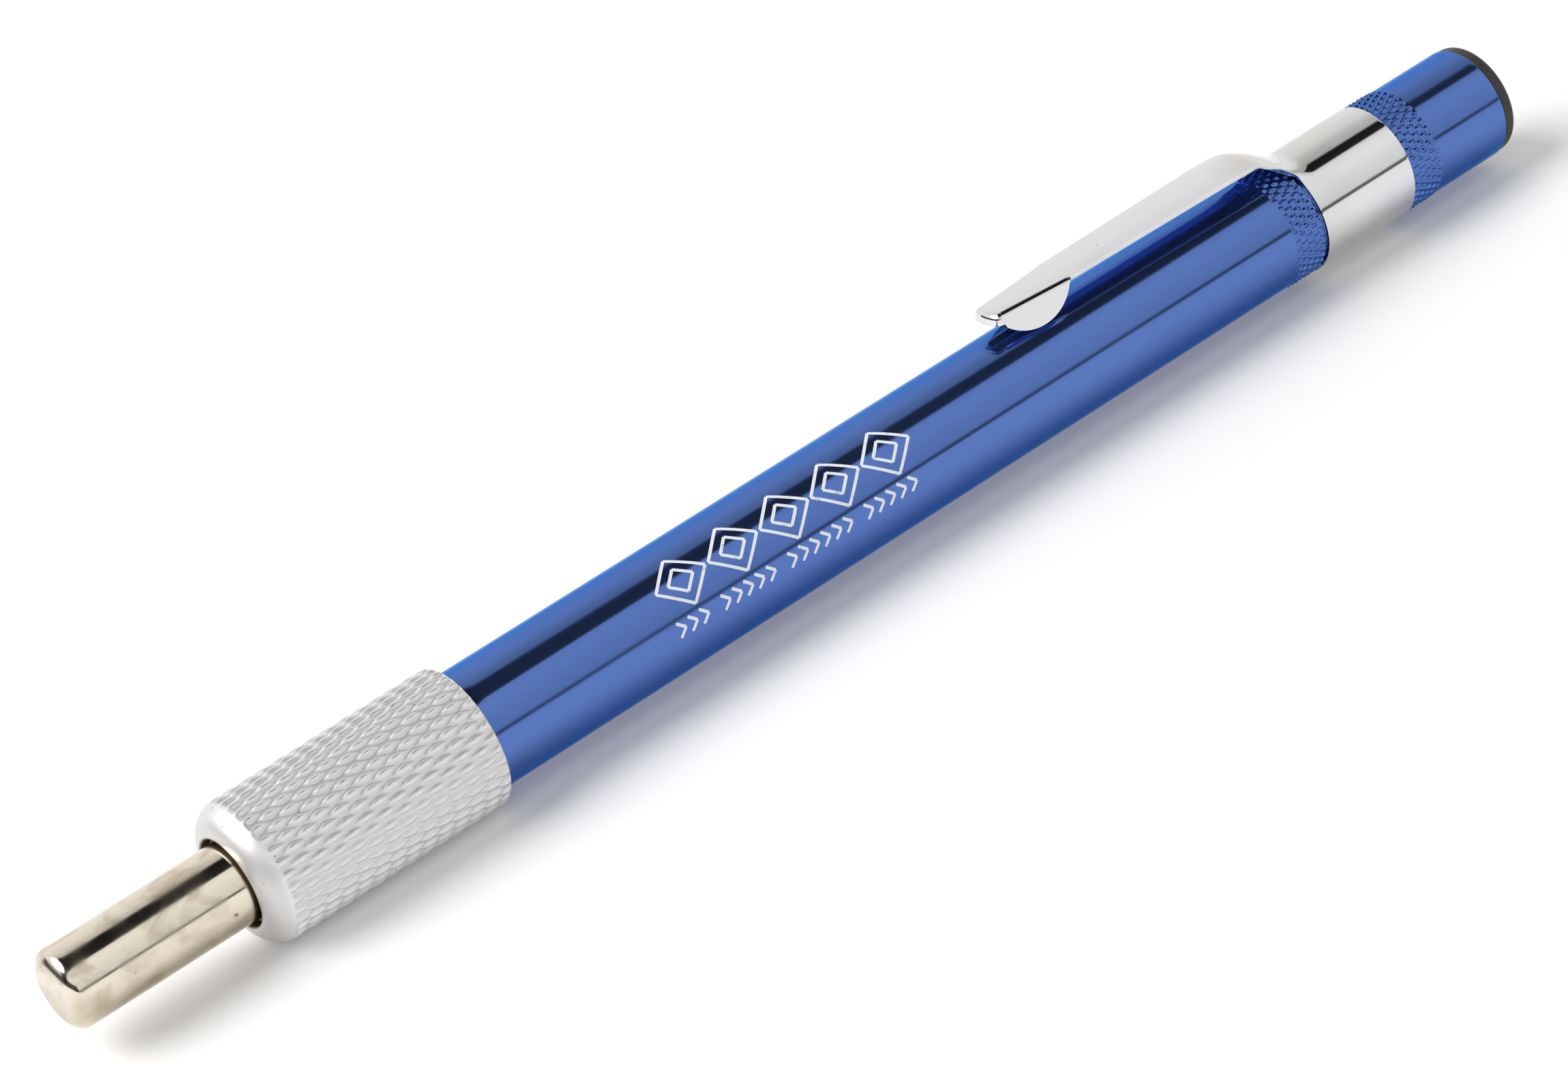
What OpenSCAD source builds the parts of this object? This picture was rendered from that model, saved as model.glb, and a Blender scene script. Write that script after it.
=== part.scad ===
// Pocket pen deburring tool: a tapered diamond rod stored point-inward in an aluminium pen barrel.
// X runs along the pen, nose at -X. The clip stands straight up (+Z). Z = 0 is the underside of
// the chuck nut, and X = 0 is the middle of the closed pen.

/* [Rod] */
// Diameter of the plated shank (quarter inch)
shank_d = 6.35; // [6.30:0.05:6.40]
// Length of shank standing out of the nut
shank_out = 15; // [12:0.25:18]
// Whole length of the shank
shank_len = 38; // [34:1:44]
// Edge rounding on the shank's free end
shank_round = 1.0; // [0.4:0.1:1.2]
// Distance from the shank's end face to the diamond point
rod_len = 113; // [100:1:114]
// Diameter of the diamond rod where it leaves the shank
rod_root_d = 5.9; // [5.4:0.1:6.1]
// Diameter of the diamond rod's rounded point
rod_point_d = 2.6; // [2:0.1:3.4]
// Height of the rod's flat above its axis
rod_flat = 0.9; // [0.6:0.1:1.2]
// Width of the hook groove in the flat
groove_d = 1.1; // [0.8:0.1:1.3]

/* [Chuck] */
// Outside diameter of the knurled nut
nut_d = 11.4; // [11:0.1:12.4]
// Length of the nut
nut_len = 20.8; // [20.6:0.05:21]
// Diameter of the nut's mouth
mouth_d = 7.1; // [7.1:0.1:7.6]
// Radius of the nut's rounded nose
nose_r = 2.2; // [1.6:0.1:2.2]
// Radius of the nut's rounded back edge
back_r = 0.7; // [0.6:0.1:1.0]
// Outside diameter of the thread the nut runs on
thread_d = 8.6; // [8.5:0.05:8.6]
// Wall of the brass collet's nose
collet_nose_wall = 0.25; // [0.2:0.05:0.35]
// Number of slots in the collet
collet_slots = 4; // [2:2:6]

/* [Barrel] */
// Outside diameter of the barrel (three-eighths of an inch)
barrel_d = 9.5; // [9.2:0.1:9.6]
// Bore of the barrel
barrel_bore_d = 7.8; // [7.6:0.1:7.8]
// Length of the barrel
barrel_len = 102.15; // [98:0.05:106]
// Diameter over the two knurled bands
band_d = 9.74; // [9.7:0.01:9.78]
// Length of each knurled band
band_len = 3.1; // [2.5:0.1:4]
// How far the plug's rim stands out of the barrel
plug_rim = 1.15; // [0.8:0.05:1.4]

/* [Clip] */
// Length of the ring that holds the clip
ring_len = 9.5; // [8:0.5:10]
// Thickness of the sheet that the ring and the strap are bent from
sheet_t = 0.4; // [0.35:0.01:0.45]
// Height of the clip's top face above the barrel's axis
clip_top = 7.0; // [6.8:0.1:7.4]
// Length of the clip from its lip to the ring
clip_len = 29.8; // [28:0.1:34]
// Width of the clip where it bends down to the ring
clip_root_w = 4.95; // [4.4:0.05:5.2]
// Width of the clip at its lip
clip_tip_w = 2.9; // [2.6:0.1:3.2]
// Drop of the lip turned down at the clip's tip
lip_drop = 0.9; // [0.7:0.1:1.2]
// Length of the folded ear on each side
ear_len = 6.9; // [5:0.1:7.5]
// Height of the ears' lower edge above the barrel's axis
ear_low = 4.58; // [4.55:0.01:5.2]

/* [Hidden] */
$fn = 96;
fit = 0.05;                 // running clearance on radius between moving pieces
play = 0.15;                // axial play left between neighbours
over = 1;                   // how far a cut runs past the face it opens

shank_r = shank_d / 2;
nut_r = nut_d / 2;
barrel_r = barrel_d / 2;
bore_r = barrel_bore_d / 2;
thread_r = thread_d / 2;
mouth_r = mouth_d / 2;

// Stations along the pen, measured from the shank's end face
nut_front = shank_out;
nut_back = nut_front + nut_len;
barrel_front = nut_back + play;
barrel_back = barrel_front + barrel_len;
pen_len = barrel_back + plug_rim;
ring_back = barrel_back - 10.55;
ring_front = ring_back - ring_len;

// Collet and the seat it draws into
collet_bore_r = shank_r + 0.025;
collet_nose_r = collet_bore_r + collet_nose_wall;
collet_front = nut_front + 0.7;
flange_r = thread_r;
flange_back = nut_front + 4.15;
collet_neck_r = 3.7;
collet_body_r = 3.95;
collet_tail_r = 3.45;
collet_body_s = flange_back + 2.7;
seat_s = flange_back + 3.7;
collet_back = seat_s + 4.4;

// Snap ring that keeps the collet in the nut
snap_s = flange_back + play;
snap_len = 0.7;
snap_r = 4.6;
snap_gap = 1.2;

// Bushing pressed into the barrel's mouth
bushing_bore_r = shank_r + 0.125;
bushing_stem = 12;
thread_front = collet_back + 0.4;
thread_root_r = thread_r - 0.08;

// Clip
ring_r = barrel_r + 0.14;
ring_bore_r = ring_r - sheet_t;
ring_gap = fit;
clip_tip_s = ring_front - clip_len;
ear_s = clip_tip_s + 0.2;
clip_mid_w = 4.2;           // width at the ears' back end
neck_drop = 3.4;            // run of the bent neck, measured back from the ring
neck_soft = 1.5;            // run of the upper bend in the neck
ear_round = 3.9;            // radius of an ear's lower edge
ear_splay = 11;             // outward lean of the ears, degrees

// Plug
plug_r = barrel_r - 0.1;
plug_stem = 8;
plug_edge = 0.55;
plug_hollow_r = 2.8;
plug_floor = 2;

// Puts a shape whose X is the station along the pen and whose Z is the height above the axis
module on_pen() {
    translate([-pen_len / 2, 0, nut_r]) children();
}

// Turns a half section (x = radius, y = station) about the pen's axis
module turned() {
    on_pen() rotate([0, 90, 0]) rotate_extrude() children();
}

// A rectangle of a half section, from one station and radius to another
module band(s0, s1, r1, r0 = 0) {
    translate([r0, s0]) square([r1 - r0, s1 - s0]);
}

// A straight-sided cone of a half section, cut down to the radius r0
module taper(s0, s1, r_s0, r_s1, r0 = 0) {
    polygon([[r0, s0], [r_s0, s0], [r_s1, s1], [r0, s1]]);
}

module barrel() {
    color("royalblue") turned() difference() {
        union() {
            band(barrel_front, barrel_back, barrel_r);
            band(ring_front - band_len, ring_back + band_len, band_d / 2);
        }
        band(barrel_front - over, barrel_back + over, bore_r);
        band(ring_front, ring_back, ring_r, ring_bore_r);
    }
}

// Brass insert: cone seat at the nose, thread under the nut, stem pressed into the barrel
module thread_bushing() {
    color("goldenrod") turned() difference() {
        union() {
            band(seat_s, thread_front, thread_root_r);
            band(thread_front, barrel_front, thread_r);
            band(barrel_front, barrel_front + bushing_stem, bore_r);
        }
        band(seat_s - over, barrel_front + bushing_stem + over, bushing_bore_r);
        taper(seat_s, collet_back + play, collet_body_r + fit, collet_tail_r + fit);
    }
}

module chuck_nut() {
    color("gainsboro") turned() difference() {
        union() {
            band(nut_front + nose_r, nut_back - back_r, nut_r);
            band(nut_front, nut_front + nose_r, nut_r - nose_r);
            translate([nut_r - nose_r, nut_front + nose_r]) circle(nose_r);
            band(nut_back - back_r, nut_back, nut_r - back_r);
            translate([nut_r - back_r, nut_back - back_r]) circle(back_r);
        }
        band(nut_front - over, nut_front + 2.2, mouth_r);
        taper(nut_front + 2.2, nut_front + 3, mouth_r, thread_r + fit);
        band(nut_front + 3, nut_back + over, thread_r + fit);
        band(snap_s, snap_s + snap_len, snap_r);
    }
}

// Brass jaws: a thin nose round the shank, a flange held by the snap ring and a slotted taper
module collet() {
    color("darkgoldenrod") difference() {
        turned() difference() {
            union() {
                band(collet_front, nut_front + 2.2, collet_nose_r);
                taper(nut_front + 2.2, nut_front + 3.1, collet_nose_r, flange_r);
                band(nut_front + 3.1, flange_back, flange_r);
                band(flange_back, collet_body_s, collet_neck_r);
                band(collet_body_s, seat_s, collet_body_r);
                taper(seat_s, collet_back, collet_body_r, collet_tail_r);
            }
            band(collet_front - over, collet_back + over, collet_bore_r);
        }
        for (i = [0 : collet_slots / 2 - 1])
            on_pen() rotate([360 * (i + 0.5) / collet_slots, 0, 0])
                translate([flange_back + 0.6, -flange_r - over, -0.25])
                    cube([collet_back - flange_back + over, 2 * (flange_r + over), 0.5]);
    }
}

module collet_snap_ring() {
    color("dimgray") difference() {
        turned() band(snap_s, snap_s + snap_len, snap_r, collet_neck_r + fit);
        on_pen() translate([snap_s - over, -snap_gap / 2, -snap_r - over])
            cube([snap_len + 2 * over, snap_gap, snap_r]);
    }
}

module rod_shank() {
    color("tan") turned() difference() {
        union() {
            band(0, shank_round, shank_r - shank_round);
            translate([shank_r - shank_round, shank_round]) circle(shank_round);
            band(shank_round, shank_len, shank_r);
        }
        translate([-shank_r, -over]) square([shank_r, shank_len + 2 * over]);
        band(shank_len - 12, shank_len + over, 2);
    }
}

// Tapered rod with a stub in the shank, one long flat and a hook groove along the flat
module diamond_rod() {
    color("gray") difference() {
        turned() {
            band(shank_len - 12, shank_len, 2);
            taper(shank_len, rod_len - rod_point_d / 2, rod_root_d / 2, rod_point_d / 2);
            intersection() {
                translate([0, rod_len - rod_point_d / 2]) circle(rod_point_d / 2);
                band(rod_len - rod_point_d / 2, rod_len + over, rod_point_d);
            }
        }
        on_pen() translate([shank_len + 4, -shank_r, rod_flat])
            cube([rod_len - shank_len, shank_d, shank_r]);
        on_pen() translate([shank_len + 8, 0, rod_flat]) rotate([0, 90, 0])
            cylinder(h = rod_len - shank_len - 16, d = groove_d);
    }
}

module clip_ring() {
    color("silver") turned() band(ring_front, ring_back, ring_r, ring_bore_r);
}

// Side view of the strap: a turned-down lip, a flat and a neck bent down to the ring's front edge
module strap_side() {
    neck_s = ring_front - neck_drop;
    foot = ring_front - ring_gap;
    polygon([[clip_tip_s + sheet_t, clip_top - sheet_t], [clip_tip_s + sheet_t, clip_top - lip_drop],
             [clip_tip_s, clip_top - lip_drop], [clip_tip_s, clip_top],
             [neck_s, clip_top], [neck_s + neck_soft, clip_top - 0.5],
             [foot, ring_r + fit + sheet_t], [foot, ring_r + fit],
             [foot - 0.4, ring_r + fit],
             [neck_s + neck_soft - 0.35, clip_top - 0.5 - sheet_t],
             [neck_s - 0.15, clip_top - sheet_t]]);
}

// Strap seen from above: square tip, slow taper, full width at the neck
module strap_plan() {
    polygon([[clip_tip_s, -clip_tip_w / 2], [ear_s + ear_len, -clip_mid_w / 2],
             [ring_front - neck_drop, -clip_root_w / 2], [ring_front, -clip_root_w / 2],
             [ring_front, clip_root_w / 2], [ring_front - neck_drop, clip_root_w / 2],
             [ear_s + ear_len, clip_mid_w / 2], [clip_tip_s, clip_tip_w / 2]]);
}

// One folded ear, a rounded tab that leans outwards from the strap's edge
module ear() {
    ear_turn = atan((clip_mid_w - clip_tip_w) / 2 / ear_len);
    translate([ear_s, clip_tip_w / 2, clip_top]) rotate([ear_splay, 0, ear_turn])
        translate([0, 0, -clip_top]) rotate([90, 0, 0]) linear_extrude(sheet_t)
            intersection() {
                translate([ear_len / 2, ear_low + ear_round]) circle(ear_round);
                translate([0, ear_low - over]) square([ear_len, clip_top - ear_low + over]);
            }
}

module clip_strap() {
    color("silver") on_pen() {
        intersection() {
            rotate([90, 0, 0]) linear_extrude(2 * clip_root_w, center = true) strap_side();
            linear_extrude(2 * clip_top) strap_plan();
        }
        ear();
        mirror([0, 1, 0]) ear();
    }
}

module end_plug() {
    color("#28261f") turned() difference() {
        union() {
            band(barrel_back - plug_stem, barrel_back, bore_r);
            band(barrel_back, pen_len - plug_edge, plug_r);
            band(barrel_back, pen_len, plug_r - plug_edge);
            translate([plug_r - plug_edge, pen_len - plug_edge]) circle(plug_edge);
        }
        band(barrel_back - plug_stem - over, barrel_back - plug_floor, plug_hollow_r);
    }
}

barrel();
thread_bushing();
chuck_nut();
collet();
collet_snap_ring();
rod_shank();
diamond_rod();
clip_ring();
clip_strap();
end_plug();
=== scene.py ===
"""Looks of the pocket pen deburring tool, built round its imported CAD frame.

Lengths are in millimetres in the pen's own terms until a mesh is made: a station is measured along the
pen from the shank's end face, y is to the side and a height is measured up from the pen's axis.
"""
import math

import bpy
import numpy as np
from mathutils import Euler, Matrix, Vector


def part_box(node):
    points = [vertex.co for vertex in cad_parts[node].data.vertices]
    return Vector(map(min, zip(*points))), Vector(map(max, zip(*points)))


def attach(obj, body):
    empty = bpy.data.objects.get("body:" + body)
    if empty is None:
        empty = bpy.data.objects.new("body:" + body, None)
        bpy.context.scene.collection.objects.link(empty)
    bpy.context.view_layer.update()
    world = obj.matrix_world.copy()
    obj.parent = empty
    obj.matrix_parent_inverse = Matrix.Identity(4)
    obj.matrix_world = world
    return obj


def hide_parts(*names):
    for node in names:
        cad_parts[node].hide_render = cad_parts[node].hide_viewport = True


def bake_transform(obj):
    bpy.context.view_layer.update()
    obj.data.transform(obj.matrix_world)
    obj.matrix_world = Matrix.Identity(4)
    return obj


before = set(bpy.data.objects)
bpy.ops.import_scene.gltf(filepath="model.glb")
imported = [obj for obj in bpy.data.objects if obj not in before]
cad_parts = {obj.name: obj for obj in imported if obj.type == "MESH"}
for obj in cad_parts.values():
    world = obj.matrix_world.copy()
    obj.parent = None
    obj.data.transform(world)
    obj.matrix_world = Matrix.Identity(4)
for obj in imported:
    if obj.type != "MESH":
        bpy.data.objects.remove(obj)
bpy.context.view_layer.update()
MM = 0.001

# ---------------------------------------------------------------- places taken from the CAD frame
NUT_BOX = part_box("chuck_nut")
NOSE_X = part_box("rod_shank")[0].x
AXIS_Z = (NUT_BOX[0].z + NUT_BOX[1].z) / 2


def span(node):
    """First and last station of a CAD node."""
    low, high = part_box(node)
    return (low.x - NOSE_X) / MM, (high.x - NOSE_X) / MM


NUT_FRONT, NUT_BACK = span("chuck_nut")
BARREL_FRONT, BARREL_BACK = span("barrel")
RING_FRONT, RING_BACK = span("clip_ring")
CLIP_TIP = span("clip_strap")[0]
BUSH_FRONT, BUSH_BACK = span("thread_bushing")
SHANK_BACK = span("rod_shank")[1]
ROD_POINT = span("diamond_rod")[1]
PLUG_FRONT, PLUG_BACK = span("end_plug")
CLIP_TOP = (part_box("clip_strap")[1].z - AXIS_Z) / MM


# ---------------------------------------------------------------- mesh helpers
def make_object(name, points, faces, material, sharp=35.0):
    """A shaded mesh from points (station, y, height) in millimetres."""
    points = np.asarray(points, float)
    placed = points * MM + np.array([NOSE_X, 0.0, AXIS_Z])
    mesh = bpy.data.meshes.new(name)
    mesh.from_pydata(placed.tolist(), [], [tuple(f) for f in faces])
    mesh.validate()
    mesh.shade_smooth()
    mesh.set_sharp_from_angle(angle=math.radians(sharp))
    mesh.materials.append(material)
    obj = bpy.data.objects.new(name, mesh)
    bpy.context.scene.collection.objects.link(obj)
    return obj


def turned(name, rows, columns, material, relief=None, sharp=35.0):
    """A surface turned about the pen's axis from rows of (station, radius).

    A row at radius 0 closes the end; otherwise the last row joins the first. relief(angle, station, radius)
    gives the radius of every point of a row, with the angle measured from the top towards +Y.
    """
    rows = np.asarray(rows, float)
    angle = np.arange(columns) * 2 * math.pi / columns
    open_start, open_end = rows[0, 1] > 0, rows[-1, 1] > 0
    rings = rows[rows[:, 1] > 0]
    radius = np.repeat(rings[:, 1:2], columns, axis=1)
    if relief is not None:
        radius = relief(angle[None, :], rings[:, 0:1], radius)
    points = np.stack([np.repeat(rings[:, 0:1], columns, axis=1),
                       radius * np.sin(angle), radius * np.cos(angle)], axis=2).reshape(-1, 3)
    count = len(rings)
    last = count if open_start and open_end else count - 1
    here = np.arange(columns)
    beside = (here + 1) % columns
    faces = []
    for i in range(last):
        j = (i + 1) % count
        a, b, c, d = (i * columns + here, j * columns + here, j * columns + beside, i * columns + beside)
        if relief is None:
            faces += np.stack([a, b, c, d], axis=1).tolist()
            continue
        low = radius[i, here] + radius[j, beside] < radius[j, here] + radius[i, beside]
        first = np.where(low[:, None], np.stack([a, b, c], 1), np.stack([a, b, d], 1))
        second = np.where(low[:, None], np.stack([a, c, d], 1), np.stack([b, c, d], 1))
        faces += first.tolist() + second.tolist()
    points = points.tolist()
    if not open_start:
        points.append([rows[0, 0], 0.0, 0.0])
        faces += [(len(points) - 1, k, (k + 1) % columns) for k in range(columns)]
    if not open_end:
        points.append([rows[-1, 0], 0.0, 0.0])
        base = (count - 1) * columns
        faces += [(base + k, len(points) - 1, base + (k + 1) % columns) for k in range(columns)]
    return make_object(name, points, faces, material, sharp)


def arc(centre, radius, start, end, steps):
    """Rows on a round corner; the angles are in degrees, 0 towards the nose and 90 outwards."""
    turns = [math.radians(start + (end - start) * k / steps) for k in range(steps + 1)]
    return [(centre[0] - radius * math.cos(t), centre[1] + radius * math.sin(t)) for t in turns]


def even(start, end, step):
    """Stations from start to end, evenly spaced and no further apart than step."""
    count = max(1, math.ceil(abs(end - start) / step))
    return [start + (end - start) * k / count for k in range(count + 1)]


def smoothstep(low, high, value):
    """0 up to low, 1 from high on, and a smooth ramp between them."""
    t = np.clip((value - low) / (high - low), 0, 1)
    return t * t * (3 - 2 * t)


KNURL_CELL = 12             # mesh rows and columns to one diamond


def diamonds(angle, station, starts, length, groove):
    """Cut of a diamond knurl: 1 along both families of grooves, 0 on the lands.

    groove is how far a groove reaches to either side of its line, as a share of the pitch.
    """
    turn = np.asarray(angle) * starts / (2 * np.pi)
    land = 1.0
    for way in (-1, 1):
        phase = turn + way * station / length
        away = np.abs(phase - np.round(phase))
        land = land * smoothstep(0.0, groove, away)
    return 1 - land


def knurl_rows(start, end, length):
    """Stations in a knurl, on the lines where its grooves cross the mesh."""
    step = length / KNURL_CELL
    return [k * step for k in range(math.ceil(start / step), math.floor(end / step) + 1)]


# ---------------------------------------------------------------- materials
# Measures of the nut that its material needs as well as its shape
MOUTH_R = 3.55              # its mouth, round the shank
NUT_R = 5.69
NUT_DEPTH = 0.26            # how deep its knurl is


class Shader:
    """A small builder round one Principled material."""

    def __init__(self, name, color, metallic, roughness):
        self.material = bpy.data.materials.new(name)
        self.material.use_nodes = True
        self.tree = self.material.node_tree
        self.body = self.tree.nodes["Principled BSDF"]
        self.body.inputs["Base Color"].default_value = (*color, 1.0)
        self.body.inputs["Metallic"].default_value = metallic
        self.body.inputs["Roughness"].default_value = roughness
        self.coords = self.tree.nodes.new("ShaderNodeTexCoord").outputs["Object"]

    def node(self, kind, **settings):
        made = self.tree.nodes.new(kind)
        for key, value in settings.items():
            setattr(made, key, value)
        return made

    def link(self, source, target):
        self.tree.links.new(source, target)

    def noise(self, scale, stretch=(1, 1, 1), detail=4.0, distortion=0.0):
        """Noise in the piece's own space; scale is in cycles per metre."""
        mapping = self.node("ShaderNodeMapping")
        mapping.inputs["Scale"].default_value = stretch
        self.link(self.coords, mapping.inputs["Vector"])
        made = self.node("ShaderNodeTexNoise")
        made.inputs["Scale"].default_value = scale
        made.inputs["Detail"].default_value = detail
        made.inputs["Distortion"].default_value = distortion
        self.link(mapping.outputs["Vector"], made.inputs["Vector"])
        return made.outputs["Fac"]

    def radius(self):
        """Distance from the pen's own axis, in millimetres."""
        flat = self.node("ShaderNodeVectorMath", operation="MULTIPLY_ADD")
        self.link(self.coords, flat.inputs[0])
        flat.inputs[1].default_value = (0, 1 / MM, 1 / MM)
        flat.inputs[2].default_value = (0, 0, -AXIS_Z / MM)
        made = self.node("ShaderNodeVectorMath", operation="LENGTH")
        self.link(flat.outputs["Vector"], made.inputs[0])
        return made.outputs["Value"]

    def ramp(self, source, low, high, out_low, out_high):
        """The range low to high of a socket, taken to out_low to out_high and held at its ends."""
        made = self.node("ShaderNodeMapRange")
        made.inputs["From Min"].default_value = low
        made.inputs["From Max"].default_value = high
        made.inputs["To Min"].default_value = out_low
        made.inputs["To Max"].default_value = out_high
        self.link(source, made.inputs["Value"])
        return made.outputs["Result"]

    def mix(self, factor, first, second):
        """A colour from first to second; either may be a colour or a socket."""
        made = self.node("ShaderNodeMix", data_type="RGBA")
        self.link(factor, made.inputs["Factor"])
        for place, value in (("A", first), ("B", second)):
            sockets = [s for s in made.inputs if s.name == place and s.type == "RGBA"]
            if isinstance(value, tuple):
                sockets[0].default_value = (*value, 1.0)
            else:
                self.link(value, sockets[0])
        return [s for s in made.outputs if s.type == "RGBA"][0]

    def specks(self, scale, size):
        """1 in small scattered dots, 0 elsewhere; a coarser noise leaves about half the places empty."""
        cells = self.node("ShaderNodeTexVoronoi")
        cells.inputs["Scale"].default_value = scale
        self.link(self.coords, cells.inputs["Vector"])
        dots = self.ramp(cells.outputs["Distance"], size * 0.7, size * 1.3, 1.0, 0.0)
        some = self.ramp(self.noise(scale * 0.3), 0.50, 0.52, 0.0, 1.0)
        both = self.node("ShaderNodeMath", operation="MULTIPLY")
        self.link(dots, both.inputs[0])
        self.link(some, both.inputs[1])
        return both.outputs[0]

    def color(self, source):
        self.link(source, self.body.inputs["Base Color"])
        return self

    def roughness(self, source):
        self.link(source, self.body.inputs["Roughness"])
        return self

    def bump(self, source, height, strength=1.0):
        """Adds a bump of that height, in millimetres, over any bump there is."""
        made = self.node("ShaderNodeBump")
        made.inputs["Distance"].default_value = height * MM
        made.inputs["Strength"].default_value = strength
        self.link(source, made.inputs["Height"])
        if self.body.inputs["Normal"].links:
            self.link(self.body.inputs["Normal"].links[0].from_socket, made.inputs["Normal"])
        self.link(made.outputs["Normal"], self.body.inputs["Normal"])
        return self


def anodised_blue():
    """Bright blue with a fine drawn grain along the tube."""
    s = Shader("anodised_blue", (0.098, 0.180, 0.49), 0.92, 0.12)
    s.body.inputs["Specular Tint"].default_value = (0.35, 0.58, 1.0, 1.0)
    drawn = s.noise(900, stretch=(0.04, 1, 1))
    cloud = s.noise(60)
    s.color(s.mix(s.ramp(cloud, 0.3, 0.7, 0, 1), (0.094, 0.174, 0.48), (0.102, 0.187, 0.50)))
    s.roughness(s.ramp(drawn, 0.3, 0.7, 0.08, 0.14))
    return s.bump(drawn, 0.0012).material


def nut_aluminium():
    """Satin metal with dark specks; painted shade darkens the knurl's grooves and the inside of the mouth.
    """
    s = Shader("nut_aluminium", (0.77, 0.76, 0.755), 0.82, 0.45)
    grain = s.noise(5200)
    radius = s.radius()
    # painted shade: lighter on the knurl's lands, darker down in its grooves
    raised = s.ramp(radius, NUT_R - NUT_DEPTH, NUT_R - 0.08, 0, 1)
    groove_shade = s.mix(raised, (0.72, 0.71, 0.705), (0.80, 0.79, 0.785))
    clean = s.mix(s.specks(800, 0.055), groove_shade, (0.30, 0.285, 0.27))
    # painted shade: near-black brown on the inside of the mouth, in the gap round the shank
    s.color(s.mix(s.ramp(radius, MOUTH_R + 0.02, MOUTH_R + 0.22, 0, 1), (0.10, 0.07, 0.04), clean))
    s.roughness(s.ramp(radius, NUT_R - 0.14, NUT_R - 0.02, 0.47, 0.33))
    return s.bump(grain, 0.006).material


def nickel_shank():
    """Bright plating with stains, spots and fine lines, and painted shade on its lower side."""
    s = Shader("nickel_shank", (0.76, 0.69, 0.58), 1.0, 0.14)
    lines = s.noise(1500, stretch=(1, 0.35, 0.35), detail=8)
    stains = s.noise(420, stretch=(0.7, 1, 1), detail=9, distortion=0.8)
    spots = s.noise(900, stretch=(0.8, 1, 1), detail=3, distortion=0.4)
    plate = s.mix(s.ramp(stains, 0.48, 0.66, 0, 1), (0.80, 0.725, 0.61), (0.60, 0.52, 0.405))
    # painted shade: darker and browner on its lower side, where the stain pattern is also drawn darker
    height = s.node("ShaderNodeSeparateXYZ")
    s.link(s.coords, height.inputs["Vector"])
    lower_shade = s.ramp(height.outputs["Z"], AXIS_Z + 0.8 * MM, AXIS_Z - 1.6 * MM, 0.0, 1.0)
    plate = s.mix(s.ramp(lower_shade, 0, 1, 0, 0.85), plate, s.mix(s.ramp(stains, 0.38, 0.62, 0, 1),
                                                            (0.62, 0.545, 0.43), (0.44, 0.37, 0.27)))
    s.color(s.mix(s.ramp(spots, 0.70, 0.75, 0, 1), plate, (0.20, 0.16, 0.11)))
    s.roughness(s.ramp(stains, 0.42, 0.68, 0.09, 0.24))
    return s.bump(lines, 0.0022).material


def clip_chrome():
    s = Shader("clip_chrome", (0.72, 0.72, 0.735), 1.0, 0.05)
    polish = s.noise(1500, stretch=(0.08, 1, 1))
    cloud = s.noise(130, stretch=(0.5, 1, 1), detail=6)
    steel = s.mix(s.ramp(cloud, 0.45, 0.62, 0, 1), (0.735, 0.735, 0.75), (0.66, 0.645, 0.625))
    s.color(s.mix(s.specks(420, 0.035), steel, (0.40, 0.38, 0.37)))
    s.roughness(s.ramp(polish, 0.3, 0.7, 0.03, 0.08))
    return s.bump(polish, 0.0006).material


def brass():
    s = Shader("brass", (0.40, 0.28, 0.12), 1.0, 0.36)
    lines = s.noise(3200, stretch=(1, 0.05, 0.05))
    tarnish = s.noise(240, detail=5)
    s.color(s.mix(s.ramp(tarnish, 0.4, 0.7, 0, 1), (0.44, 0.31, 0.13), (0.28, 0.19, 0.08)))
    s.roughness(s.ramp(lines, 0.3, 0.7, 0.30, 0.44))
    return s.bump(lines, 0.003).material


def spring_wire():
    s = Shader("spring_wire", (0.22, 0.22, 0.23), 1.0, 0.42)
    grain = s.noise(2200)
    s.color(s.mix(s.ramp(grain, 0.35, 0.65, 0, 1), (0.16, 0.16, 0.17), (0.27, 0.27, 0.28)))
    return s.bump(grain, 0.004).material


def diamond_plate():
    """Diamond grit held in a grey plating."""
    s = Shader("diamond_plate", (0.34, 0.33, 0.31), 0.85, 0.5)
    cells = s.node("ShaderNodeTexVoronoi")
    cells.inputs["Scale"].default_value = 11000
    s.link(s.coords, cells.inputs["Vector"])
    grit = s.ramp(cells.outputs["Distance"], 0.0, 0.6, 1.0, 0.0)
    tone = s.noise(7000, detail=2)
    s.color(s.mix(s.ramp(tone, 0.4, 0.68, 0, 1), (0.22, 0.215, 0.20), (0.62, 0.61, 0.58)))
    s.roughness(s.ramp(tone, 0.3, 0.7, 0.38, 0.62))
    return s.bump(grit, 0.03).material


def black_plastic():
    s = Shader("black_plastic", (0.022, 0.020, 0.017), 0.0, 0.5)
    spark = s.noise(3800)
    s.color(s.mix(s.ramp(spark, 0.35, 0.65, 0, 1), (0.016, 0.015, 0.013), (0.028, 0.026, 0.022)))
    s.roughness(s.ramp(spark, 0.3, 0.7, 0.42, 0.58))
    return s.bump(spark, 0.01).material


def white_ink():
    s = Shader("white_ink", (0.80, 0.83, 0.88), 0.0, 0.45)
    wear = s.noise(2400, detail=6)
    s.color(s.mix(s.ramp(wear, 0.60, 0.72, 0, 1), (0.82, 0.85, 0.90), (0.45, 0.55, 0.78)))
    return s.bump(wear, 0.004).material


BLUE = anodised_blue()
SATIN = nut_aluminium()
NICKEL = nickel_shank()
CHROME = clip_chrome()
BRASS = brass()
WIRE = spring_wire()
DIAMOND = diamond_plate()
PLASTIC = black_plastic()
INK = white_ink()


def finish_piece(piece, body, slot, *nodes):
    """Puts a piece on its body, in place of those CAD nodes."""
    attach(piece, body)
    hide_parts(*nodes)


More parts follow.
